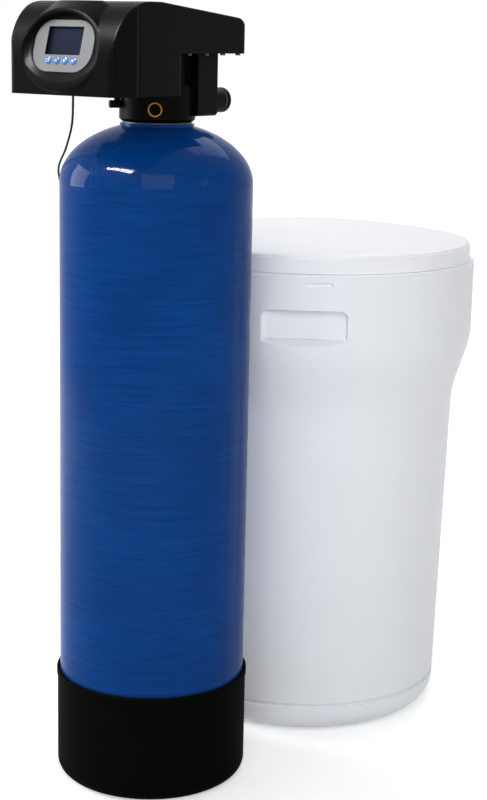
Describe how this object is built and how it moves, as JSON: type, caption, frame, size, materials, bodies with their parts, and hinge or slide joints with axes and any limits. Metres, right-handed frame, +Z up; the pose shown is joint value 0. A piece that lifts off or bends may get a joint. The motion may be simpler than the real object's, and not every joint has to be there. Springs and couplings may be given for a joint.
{
  "type": "whole house water filter",
  "caption": "Tall round pressure vessel in a boot with an automatic control head on its neck, and a round brine tank with a domed lid behind it.",
  "frame": {"origin": "centre of the pressure vessel's foot on the floor", "axes": "+Z up along the vessel; -Y is the display side; the service ports and the brine tank are on +Y; +X is the right-hand side seen from the display, with the outlet"},
  "size_m": [0.5069, 0.8288, 1.0585],
  "materials": {
    "wound_blue": "resin-wound glass fibre with a deep blue gloss coat, fine horizontal winding lines",
    "liner_white": "moulded white polyethylene liner",
    "boot_black": "moulded black plastic boot, matt",
    "strainer_white": "white moulded strainer plastic",
    "gravel": "washed quartz gravel",
    "resin_beads": "amber ion exchange beads",
    "seal_rubber": "black rubber seal",
    "valve_black": "black glass-filled plastic, satin",
    "brass": "turned brass, slightly dull",
    "disc_white": "lapped alumina disc",
    "drive_white": "white acetal",
    "screw_steel": "stainless steel screw",
    "motor_steel": "zinc-plated steel can",
    "head_black": "black satin moulded plastic",
    "label_silver": "silver-grey printed label",
    "display_glass": "dark navy display window, glossy",
    "board_green": "green circuit board",
    "button_blue": "glossy blue button with a white sign",
    "lead_black": "black flexible lead",
    "adapter_black": "black moulded adapter",
    "tank_white": "white rotationally moulded polyethylene, satin",
    "lid_white": "white moulded lid, satin",
    "fitting_white": "white moulded fitting",
    "float_foam": "white foamed float"
  },
  "bodies": {
    "filter_set": {"adapter_pins": "brass", "blanking_plug": "valve_black", "bonnet_nut": "valve_black", "bottom_basket": "strainer_white", "brine_line_nut": "fitting_white", "brine_line_tube": "fitting_white", "brine_port_insert": "brass", "brine_tank": "tank_white", "brine_well": "fitting_white", "control_board": "board_green", "cover_screws": "screw_steel", "display_label": "label_silver", "display_module": "head_black", "display_window": "display_glass", "drive_motor": "motor_steel", "fixed_disc": "disc_white", "float_rod": "fitting_white", "flow_cage": "drive_white", "front_bezel": "head_black", "gravel_bed": "gravel", "grid_legs": "fitting_white", "injector_cover": "valve_black", "injector_nozzle": "drive_white", "injector_screws": "screw_steel", "main_cover": "head_black", "motor_screws": "screw_steel", "mounting_plate": "head_black", "neck_o_ring": "seal_rubber", "overflow_elbow": "fitting_white", "overflow_nut": "fitting_white", "plate_screws": "screw_steel", "port_o_rings": "seal_rubber", "power_adapter": "adapter_black", "power_gland": "lead_black", "power_lead": "lead_black", "power_lead_coil": "lead_black", "resin_bed": "resin_beads", "riser_tube": "strainer_white", "salt_grid": "fitting_white", "top_basket": "strainer_white", "valve_body": "valve_black", "vessel_boot": "boot_black", "vessel_liner": "liner_white", "vessel_winding": "wound_blue"},
    "disc_drive": {"moving_disc": "disc_white", "disc_shaft": "drive_white", "drive_gear": "drive_white", "gear_screw": "screw_steel"},
    "pinion": {"motor_pinion": "drive_white"},
    "meter_impeller": {"flow_impeller": "drive_white"},
    "menu_key": {"menu_button": "button_blue"},
    "up_key": {"up_button": "button_blue"},
    "down_key": {"down_button": "button_blue"},
    "enter_key": {"enter_button": "button_blue"},
    "tank_lid": {"brine_tank_lid": "lid_white"},
    "well_cap": {"brine_well_cap": "fitting_white"},
    "safety_float": {"brine_float": "float_foam"}
  },
  "joints": [
    {"name": "disc_turn", "type": "hinge", "parent": "filter_set", "child": "disc_drive", "pos_m": [0, 0, 1], "axis": [0, 0, 1], "continuous": true},
    {"name": "pinion_turn", "type": "hinge", "parent": "filter_set", "child": "pinion", "pos_m": [0, -0.0763, 1.02], "axis": [0, 0, 1], "continuous": true},
    {"name": "meter_turn", "type": "hinge", "parent": "filter_set", "child": "meter_impeller", "pos_m": [0.034, 0.085, 0.935], "axis": [0, 1, 0], "continuous": true},
    {"name": "menu_press", "type": "slide", "parent": "filter_set", "child": "menu_key", "axis": [0, 0.9613, -0.2756], "range_m": [0, 0.0008], "stiffness_N_per_m": 400, "springref_m": -0.0004},
    {"name": "up_press", "type": "slide", "parent": "filter_set", "child": "up_key", "axis": [0, 0.9613, -0.2756], "range_m": [0, 0.0008], "stiffness_N_per_m": 400, "springref_m": -0.0004},
    {"name": "down_press", "type": "slide", "parent": "filter_set", "child": "down_key", "axis": [0, 0.9613, -0.2756], "range_m": [0, 0.0008], "stiffness_N_per_m": 400, "springref_m": -0.0004},
    {"name": "enter_press", "type": "slide", "parent": "filter_set", "child": "enter_key", "axis": [0, 0.9613, -0.2756], "range_m": [0, 0.0008], "stiffness_N_per_m": 400, "springref_m": -0.0004},
    {"name": "lid_lift", "type": "slide", "parent": "filter_set", "child": "tank_lid", "axis": [0, 0, 1], "range_m": [0, 0.25]},
    {"name": "cap_lift", "type": "slide", "parent": "filter_set", "child": "well_cap", "axis": [0, 0, 1], "range_m": [0, 0.03]},
    {"name": "float_rise", "type": "slide", "parent": "filter_set", "child": "safety_float", "axis": [0, 0, 1], "range_m": [0, 0.2]}
  ],
  "couplings": [
    {"joint": "pinion_turn", "follows": "disc_turn", "ratio": -3.75}
  ]
}
